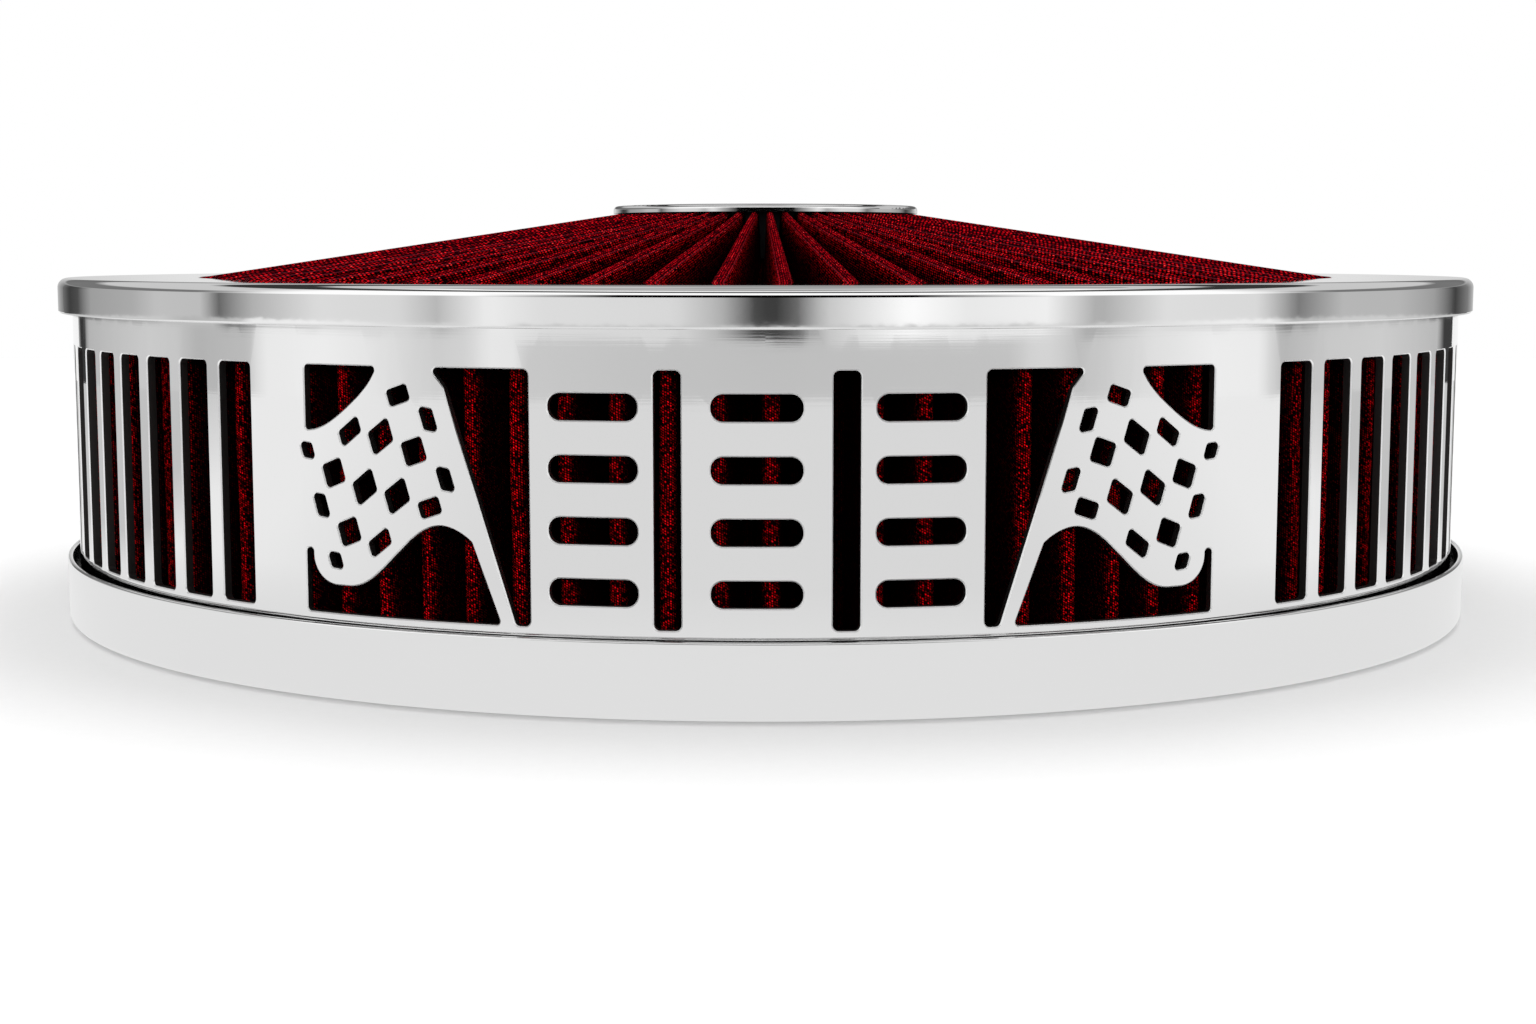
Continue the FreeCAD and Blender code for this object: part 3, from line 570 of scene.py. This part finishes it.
def skin_mesh(name, rows):
    """Mesh of rows of (point, its place on the cloth, the next point's place on the same
    fold of cloth), closed round the axis."""
    mesh = bpy.data.meshes.new(name)
    work = bmesh.new()
    cloth = work.loops.layers.uv.new("cloth")
    made = [[work.verts.new(Vector(p) * MM) for p, _, _ in row] for row in rows]
    for i in range(len(rows) - 1):
        count = len(rows[i])
        for j in range(count):
            k = (j + 1) % count
            face = work.faces.new((made[i][j], made[i][k], made[i + 1][k], made[i + 1][j]))
            places = (rows[i][j][1], rows[i][j][2], rows[i + 1][j][2], rows[i + 1][j][1])
            for loop, uv in zip(face.loops, places):
                loop[cloth].uv = uv
            face.smooth = True
    work.normal_update()
    work.to_mesh(mesh)
    work.free()
    obj = bpy.data.objects.new(name, mesh)
    bpy.context.scene.collection.objects.link(obj)
    return obj


def fold_section(half_pitch, depth, ridge, valley, steps):
    """Section of one fold as (across, down, cloth length), ridge in the middle: two flanks
    between a ridge and a valley rounded to those radii, in so many steps each."""
    lean = math.atan2(depth - ridge - valley, half_pitch - ridge - valley)
    half = []
    for i in range(steps + 1):
        turn = lean * i / steps
        half.append((ridge * math.sin(turn), ridge * (1 - math.cos(turn))))
    end = half[-1]
    low = []
    for i in range(steps + 1):
        turn = lean * (1 - i / steps)
        low.append((half_pitch - valley * math.sin(turn), depth - valley * (1 - math.cos(turn))))
    for i in range(1, 4):
        share = i / 4
        half.append((end[0] + (low[0][0] - end[0]) * share, end[1] + (low[0][1] - end[1]) * share))
    half += low
    length = [0.0]
    for a, b in zip(half, half[1:]):
        length.append(length[-1] + math.hypot(b[0] - a[0], b[1] - a[1]))
    right = [(x, z, s) for (x, z), s in zip(half, length)]
    left = [(-x, z, -s) for x, z, s in right[:0:-1]]
    return left + right


def fold_rows(count, levels, section_at, place):
    """Rows of points round the axis. section_at(level share) gives a fold's section, and
    place(level share, fold, (across, down, length)) a point and its height on the cloth.
    A fold's last point is the first of the next."""
    rows = []
    for level in range(levels):
        share = level / (levels - 1)
        samples = section_at(share)
        row = []
        for i in range(count):
            start = i * FOLD_SPAN
            for sample, following in zip(samples, samples[1:]):
                point, v = place(share, i, sample)
                row.append((point, (sample[2] + start, v), (following[2] + start, v)))
        rows.append(row)
    return rows


def loose_folds(count):
    """How far a fold strays sideways, in mm, by its number and the share of its length:
    folded media is never quite true."""
    drift = [random.uniform(-DRIFT, DRIFT) for _ in range(count)]
    sway = [random.uniform(-SWAY, SWAY) for _ in range(count)]
    return lambda i, share: drift[i] * math.sin(math.pi * share) + sway[i] * math.sin(TURN * share)


def give_wall(obj, thickness):
    """Gives a folded skin its thickness, inwards from the side that shows."""
    wall = obj.modifiers.new("media", "SOLIDIFY")
    wall.thickness = thickness * MM
    wall.offset = -1.0


def side_pleats(material):
    """The round element's upright folds."""
    half = math.pi / SIDE_PLEATS
    half_pitch = half * SIDE_TIP
    samples = fold_section(half_pitch, SIDE_TIP - SIDE_ROOT, 1.75, 1.2, 5)
    stray = loose_folds(SIDE_PLEATS)

    def place(share, i, sample):
        x, down, _ = sample
        z = SIDE_BOTTOM + (SIDE_TOP - SIDE_BOTTOM) * share
        radius = SIDE_TIP - down
        hold = 1 - abs(x) / half_pitch
        across = x * radius / SIDE_TIP + stray(i, share) * hold * 3
        angle = FRONT + SIDE_PHASE + i * 2 * half + across / radius
        return (radius * math.cos(angle), radius * math.sin(angle), z), z

    obj = skin_mesh("pleated_side_media", fold_rows(SIDE_PLEATS, 9, lambda share: samples, place))
    give_wall(obj, SIDE_WALL)
    finish_piece(obj, "side_pleats", "housing", material)


def lid_pleats(material):
    """The lid's radial folds, rising to the hub; the rows run inwards, so the cloth faces up."""
    pitch = TURN / LID_PLEATS
    stray = loose_folds(LID_PLEATS)

    def radius_at(share):
        return LID_OUTER + (LID_INNER - LID_OUTER) * share

    def section_at(share):
        return fold_section(pitch / 2 * radius_at(share), LID_DEPTH, 1.65 - 0.9 * share, 0.5, 5)

    def place(share, i, sample):
        x, down, _ = sample
        radius = radius_at(share)
        top = LID_RIDGE_AT_RING + (LID_RIDGE_AT_HUB - LID_RIDGE_AT_RING) * share
        hold = 1 - abs(x) / (pitch / 2 * radius)
        angle = FRONT + LID_PHASE + i * pitch + (x + stray(i, share) * hold * 2) / radius
        return (radius * math.cos(angle), radius * math.sin(angle), top - down), radius

    obj = skin_mesh("pleated_lid_media", fold_rows(LID_PLEATS, 18, section_at, place))
    give_wall(obj, LID_WALL)
    finish_piece(obj, "lid_pleats", "housing", material)


# Studio

# Each pair is a bearing in degrees from the front, positive to the right, and a brightness
LOW_PANELS = (
    (-139, 0.15), (-134, 0.05), (-128, 0.08), (-121, 0.38), (-105, 0.46), (-98, 0.6), (-87, 0.58),
    (-83, 0.15), (-76, 0.5), (-64, 0.82), (-51, 0.78), (-45, 0.55), (-37.5, 0.97), (-30, 0.83),
    (-12, 0.79), (-6, 0.52), (-1.5, 0.08), (1, 0.04), (4, 0.14), (8, 0.65), (19, 1.14), (27, 0.94),
    (38, 1.0), (45.5, 0.46), (56, 0.84), (72, 0.8), (80, 0.22), (90, 0.54), (105, 0.53), (118, 0.38),
    (129, 0.05), (139, 0.2))
BASE_BOARDS = (
    (-141, 0.9), (-138.5, 0.04), (-134, 0.04), (-131.5, 0.5), (-104, 0.69), (-97, 0.66),
    (-91, 0.52), (-79, 0.59), (-76.5, 0.96), (-65, 1.0), (-57, 0.92), (-46, 0.71), (-41.5, 0.76),
    (-38.5, 0.94), (-35, 0.92), (-33, 0.68), (-20, 0.64), (0, 0.61), (34, 0.63), (37, 0.77),
    (40, 0.77), (43.5, 0.6), (55.6, 0.86), (66, 1.0), (75, 0.98), (79, 0.54), (90, 0.68), (104, 0.71),
    (128, 0.53), (132, 0.05), (138, 0.05))
REAR_PANELS = ((140, 0.22), (147, 0.45), (158, 0.75), (166, 0.75), (170, 0.4), (180, 0.33))
HIGH_PANELS = ((0, 1.15), (70, 1.15), (85, 0.65), (140, 0.65), (155, 0.45))
MIRRORED_FLOOR = (
    (-90, 0.62), (-79, 0.96), (-65, 0.96), (-30, 0.8), (30, 0.8), (65, 0.96), (79, 0.96), (90, 0.62))


def by_bearing(levels, start=-180.0, span=360.0, full=BRIGHTEST):
    """Ramp stops from (bearing, brightness) pairs, over a whole turn unless told."""
    return [((degrees - start) / span, level / full) for degrees, level in levels]


def bearing_from_front(tree, place):
    """Bearing in radians, as a share of a whole turn, and the height."""
    axes = add(tree, "ShaderNodeSeparateXYZ", {"Vector": place})
    back = add(tree, "ShaderNodeMath", {0: axes.outputs["Y"], 1: -1.0}, operation="MULTIPLY")
    bearing = add(tree, "ShaderNodeMath", {0: axes.outputs["X"], 1: back.outputs[0]}, operation="ARCTAN2")
    turn = add(tree, "ShaderNodeMapRange", {0: bearing.outputs[0], 1: -math.pi, 2: math.pi})
    return bearing.outputs[0], turn.outputs[0], axes.outputs["Z"]


def dark_gaps(tree, degrees, height):
    """Share of darkness: a low gap, black in front and paler at the sides, and one under
    the ceiling's edge."""
    front = add(tree, "ShaderNodeMapRange", {0: degrees, 1: 20.0, 2: 40.0, 3: 1.0, 4: 0.0})
    flank = add(tree, "ShaderNodeMapRange", {0: degrees, 1: 75.0, 2: 90.0, 3: 0.0, 4: 0.7})
    front_foot = add(tree, "ShaderNodeMapRange", {0: height, 1: 0.068, 2: 0.078})
    flank_foot = add(tree, "ShaderNodeMapRange", {0: height, 1: 0.2, 2: 0.23})
    head = add(tree, "ShaderNodeMapRange", {0: height, 1: 0.42, 2: 0.48, 3: 1.0, 4: 0.0})
    front_gap = add(tree, "ShaderNodeMath", {
        0: front.outputs[0], 1: front_foot.outputs[0]}, operation="MULTIPLY")
    flank_gap = add(tree, "ShaderNodeMath", {
        0: flank.outputs[0], 1: flank_foot.outputs[0]}, operation="MULTIPLY")
    low_gap = add(tree, "ShaderNodeMath", {0: front_gap.outputs[0], 1: flank_gap.outputs[0]}, operation="ADD")
    low_dark = add(tree, "ShaderNodeMath", {0: low_gap.outputs[0], 1: head.outputs[0]}, operation="MULTIPLY")
    top_foot = add(tree, "ShaderNodeMapRange", {0: height, 1: 0.9, 2: 0.97})
    top_head = add(tree, "ShaderNodeMapRange", {0: height, 1: 1.35, 2: 1.45, 3: 0.94, 4: 0.0})
    top_dark = add(tree, "ShaderNodeMath", {
        0: top_foot.outputs[0], 1: top_head.outputs[0]}, operation="MULTIPLY")
    dark = add(tree, "ShaderNodeMath", {0: low_dark.outputs[0], 1: top_dark.outputs[0]}, operation="ADD")
    return dark.outputs[0]


def light_panels(tree, place):
    """Brightness of the surround by bearing and height: pale panels with dark gaps."""
    bearing, turn, height = bearing_from_front(tree, place)
    aside = add(tree, "ShaderNodeMath", {0: bearing}, operation="ABSOLUTE")
    degrees = add(tree, "ShaderNodeMath", {0: aside.outputs[0]}, operation="DEGREES").outputs[0]
    half_turn = add(tree, "ShaderNodeMapRange", {0: degrees, 2: 180.0}).outputs[0]
    rear = add(tree, "ShaderNodeMath", {0: degrees, 1: BEHIND}, operation="GREATER_THAN").outputs[0]
    panels = add(tree, "ShaderNodeValToRGB", {"Fac": turn})
    stops(panels, *by_bearing(LOW_PANELS))
    rear_panels = add(tree, "ShaderNodeValToRGB", {"Fac": half_turn})
    stops(rear_panels, *by_bearing(REAR_PANELS, 0.0, 180.0))
    walls = add(tree, "ShaderNodeMix", {0: rear, 2: panels.outputs[0], 3: rear_panels.outputs[0]})
    # Below 40 mm, rising to 46 mm at the sides, stand base boards of other greys
    boards = add(tree, "ShaderNodeValToRGB", {"Fac": turn})
    stops(boards, *by_bearing(BASE_BOARDS))
    board = add(tree, "ShaderNodeMix", {0: rear, 2: boards.outputs[0], 3: 0.8})
    ledge = add(tree, "ShaderNodeMapRange", {0: degrees, 1: 20.0, 2: 90.0, 3: 0.0395, 4: 0.0455})
    above = add(tree, "ShaderNodeMath", {0: height, 1: ledge.outputs[0]}, operation="SUBTRACT")
    over = add(tree, "ShaderNodeMapRange", {0: above.outputs[0], 1: -MM, 2: MM})
    low = add(tree, "ShaderNodeMix", {0: over.outputs[0], 2: board.outputs[0], 3: walls.outputs[0]})
    # Above 0.2 m: white in front, greyer at the sides and behind
    high = add(tree, "ShaderNodeValToRGB", {"Fac": half_turn})
    stops(high, *by_bearing(HIGH_PANELS, 0.0, 180.0))
    rise = add(tree, "ShaderNodeMapRange", {0: height, 1: 0.19, 2: 0.23})
    level = add(tree, "ShaderNodeMix", {0: rise.outputs[0], 2: low.outputs[0], 3: high.outputs[0]})
    dark = dark_gaps(tree, degrees, height)
    lit = add(tree, "ShaderNodeMath", {0: 1.0, 1: dark}, operation="SUBTRACT")
    shown = add(tree, "ShaderNodeMath", {0: level.outputs[0], 1: lit.outputs[0]}, operation="MULTIPLY")
    return shown.outputs[0]


def paper_floor():
    """Matt white paper that keeps the shadow and runs out to plain white behind."""
    material, tree, out = blank("matt_white_paper")
    light_path = add(tree, "ShaderNodeLightPath")
    place = add(tree, "ShaderNodeTexCoord").outputs["Object"]
    fibre = add(tree, "ShaderNodeTexNoise", {"Vector": place, "Scale": 400.0, "Detail": 2.0})
    tone = add(tree, "ShaderNodeMapRange", {0: fibre.outputs["Fac"], 3: 0.74, 4: 0.76})
    paper = add(tree, "ShaderNodeBsdfDiffuse", {"Color": tone.outputs["Result"]})
    flat = add(tree, "ShaderNodeVectorMath", {0: place, 1: (1.0, 1.0, 0.0)}, operation="MULTIPLY")
    far = add(tree, "ShaderNodeVectorMath", {0: flat.outputs[0]}, operation="LENGTH").outputs["Value"]
    # Polished metal mirrors an even paper, paler at the sides of the object
    _, turn, _ = bearing_from_front(tree, place)
    outer = add(tree, "ShaderNodeValToRGB", {"Fac": turn})
    stops(outer, *by_bearing(MIRRORED_FLOOR, full=1.0))
    away = add(tree, "ShaderNodeMapRange", {0: far, 1: 0.26, 2: 0.34})
    grey = add(tree, "ShaderNodeMix", {0: away.outputs[0], 2: 0.85, 3: outer.outputs[0]})
    even = add(tree, "ShaderNodeEmission", {"Strength": grey.outputs[0]})
    seen = add(tree, "ShaderNodeMixShader", {
        "Fac": light_path.outputs["Is Glossy Ray"], 1: paper.outputs[0], 2: even.outputs[0]})
    # The camera sees the paper glow paler with distance
    pale = add(tree, "ShaderNodeMapRange", {
        0: far, 1: 0.18, 2: 0.45, 3: 0.02, 4: 0.35}, interpolation_type="SMOOTHSTEP")
    lift = add(tree, "ShaderNodeMath", {
        0: light_path.outputs["Is Camera Ray"], 1: pale.outputs["Result"]}, operation="MULTIPLY")
    glow = add(tree, "ShaderNodeEmission", {"Strength": lift.outputs[0]})
    both = add(tree, "ShaderNodeAddShader", {0: seen.outputs[0], 1: glow.outputs[0]})
    tree.links.new(both.outputs[0], out.inputs["Surface"])
    bpy.ops.mesh.primitive_plane_add(size=FLOOR_SIZE, location=(0.0, 0.0, FLOOR))
    floor = bpy.context.object
    floor.name = "paper_floor"
    floor.data.materials.append(material)


def studio_air():
    """Plain white light; polished metal sees a greyer ceiling, paler at the sides."""
    world = bpy.data.worlds.new("studio_air")
    bpy.context.scene.world = world
    world.use_nodes = True
    tree = world.node_tree
    tree.nodes.clear()
    heading = add(tree, "ShaderNodeTexCoord").outputs["Generated"]
    axes = add(tree, "ShaderNodeSeparateXYZ", {"Vector": heading})
    sideways = add(tree, "ShaderNodeMath", {0: axes.outputs["X"]}, operation="ABSOLUTE").outputs[0]
    shapes = add(tree, "ShaderNodeTexNoise", {"Vector": heading, "Scale": 2.5, "Detail": 1.0})
    paler = add(tree, "ShaderNodeMapRange", {0: sideways, 1: 0.3, 2: 0.7, 3: 0.5, 4: 0.8})
    patches = add(tree, "ShaderNodeMapRange", {0: shapes.outputs["Fac"], 1: 0.35, 2: 0.65, 3: 0.6, 4: 1.4})
    ceiling = add(tree, "ShaderNodeMath", {0: paler.outputs[0], 1: patches.outputs[0]}, operation="MULTIPLY")
    glossy = add(tree, "ShaderNodeLightPath").outputs["Is Glossy Ray"]
    strength = add(tree, "ShaderNodeMix", {0: glossy, 2: 1.0, 3: ceiling.outputs[0]})
    sky = add(tree, "ShaderNodeBackground", {
        "Color": (1.0, 1.0, 1.0, 1.0), "Strength": strength.outputs[0]})
    out = add(tree, "ShaderNodeOutputWorld")
    tree.links.new(sky.outputs[0], out.inputs["Surface"])


def panel_wall():
    """The surround of light panels, which only polished metal sees."""
    material, tree, out = blank("light_panels")
    place = add(tree, "ShaderNodeTexCoord").outputs["Object"]
    light = add(tree, "ShaderNodeEmission", {"Color": light_panels(tree, place), "Strength": BRIGHTEST})
    tree.links.new(light.outputs[0], out.inputs["Surface"])
    bpy.ops.mesh.primitive_cylinder_add(
        vertices=180, radius=WALL_RADIUS, depth=WALL_HEIGHT, end_fill_type="NOTHING",
        location=(0.0, 0.0, WALL_HEIGHT / 2))
    wall = bpy.context.object
    wall.name = "light_panel_wall"
    bpy.ops.object.transform_apply(location=True)
    wall.data.materials.append(material)
    wall.visible_camera = False
    wall.visible_shadow = False
    wall.visible_diffuse = False


def softbox(name, energy, wide, deep, place, tilt):
    """A lamp with a soft rectangular face, tilted about X, that metal doesn't mirror."""
    lamp = bpy.data.lights.new(name, "AREA")
    lamp.shape = "RECTANGLE"
    lamp.size = wide
    lamp.size_y = deep
    lamp.energy = energy
    box = bpy.data.objects.new(name, lamp)
    box.location = place
    box.rotation_euler = (math.radians(tilt), 0.0, 0.0)
    box.visible_glossy = False
    bpy.context.scene.collection.objects.link(box)


def studio():
    """Pale floor, a soft surround that the polished metal mirrors, and soft lamps: one on
    top, a little behind, and a low one in front that reaches the folds."""
    bpy.context.scene.view_settings.view_transform = "Standard"
    paper_floor()
    studio_air()
    panel_wall()
    softbox("top_softbox", 7.0, 1.4, 1.0, (0.0, 0.25, 1.3), -8.0)
    softbox("front_softbox", 8.0, 0.9, 0.3, (0.0, -1.3, 0.35), 76.0)


bpy.ops.object.select_all(action="DESELECT")
set_camera()
studio()

# Dull blacks, so that the seals stay dark between the red folds and the metal
urethane = moulded_rubber("moulded_black_urethane", "#08080a", 0.7)
rubber = moulded_rubber("black_nitrile_rubber", "#0c0c0d", 0.7)
# Zinc plate gives a soft warm grey, stainless steel a slightly brighter one
zinc = turned_metal("zinc_plated_steel", "#a9a8a6", 0.35)
stainless = turned_metal("stainless_steel", "#b9b8b6", 0.28)

# Side folds: near black with sparse red beads; lid folds: denser beads and paler creases. The side's sparser
# beads and the sooner fading of its beads down the folds are partly painted shade, for folds that sit behind
# the strip. In each list the first colour is a painted highlight along the ridges and the last a painted
# glint on the brightest beads.
side_pleats(pleated_gauze(
    "oiled_gauze_side", ("#080001", "#080001", "#020001", "#f2000b", "#ff2430"),
    spread=0.42, stretch=1.0, rarity=2.4, shade_reach=5.0))
lid_pleats(pleated_gauze(
    "oiled_gauze_lid", ("#160105", "#5a1c26", "#020001", "#f00a16", "#ff9080"),
    spread=0.41, stretch=2.2, rarity=1.3, shade_reach=9.0))
# The pan is less finely buffed than the ring, so its reflections are softer
base_pan(chrome_plate("chrome_plated_pressed_pan", 0.08, 0.12))
lid_ring(chrome_plate("chrome_plated_spun_ring", 0.02, 0.035))
hold_down_nut(turned_metal("chrome_plated_brass", "#e4e4e6", 0.12))
centre_stud(zinc)
dress("filter_surround", polished_strip())
# A clear mirror with hairline rings
dress("hub_cap", turned_metal("turned_polished_aluminium", "#e6e6e6", 0.06))
for node in ("side_bottom_seal", "side_top_seal", "lid_rim_seal", "hub_bead"):
    dress(node, urethane)
for node in ("neck_gasket", "seal_washer"):
    dress(node, rubber)
dress("hub_clamp_plate", zinc)
for node in ("hub_screws", "captive_washer"):
    dress(node, stainless)
# Unpolished aluminium: grey, with broad soft highlights
dress("seam_strap", turned_metal("mill_finish_aluminium", "#bdbdbf", 0.3))
dress("seam_rivets", turned_metal("satin_aluminium_rivet", "#c8c8ca", 0.3))
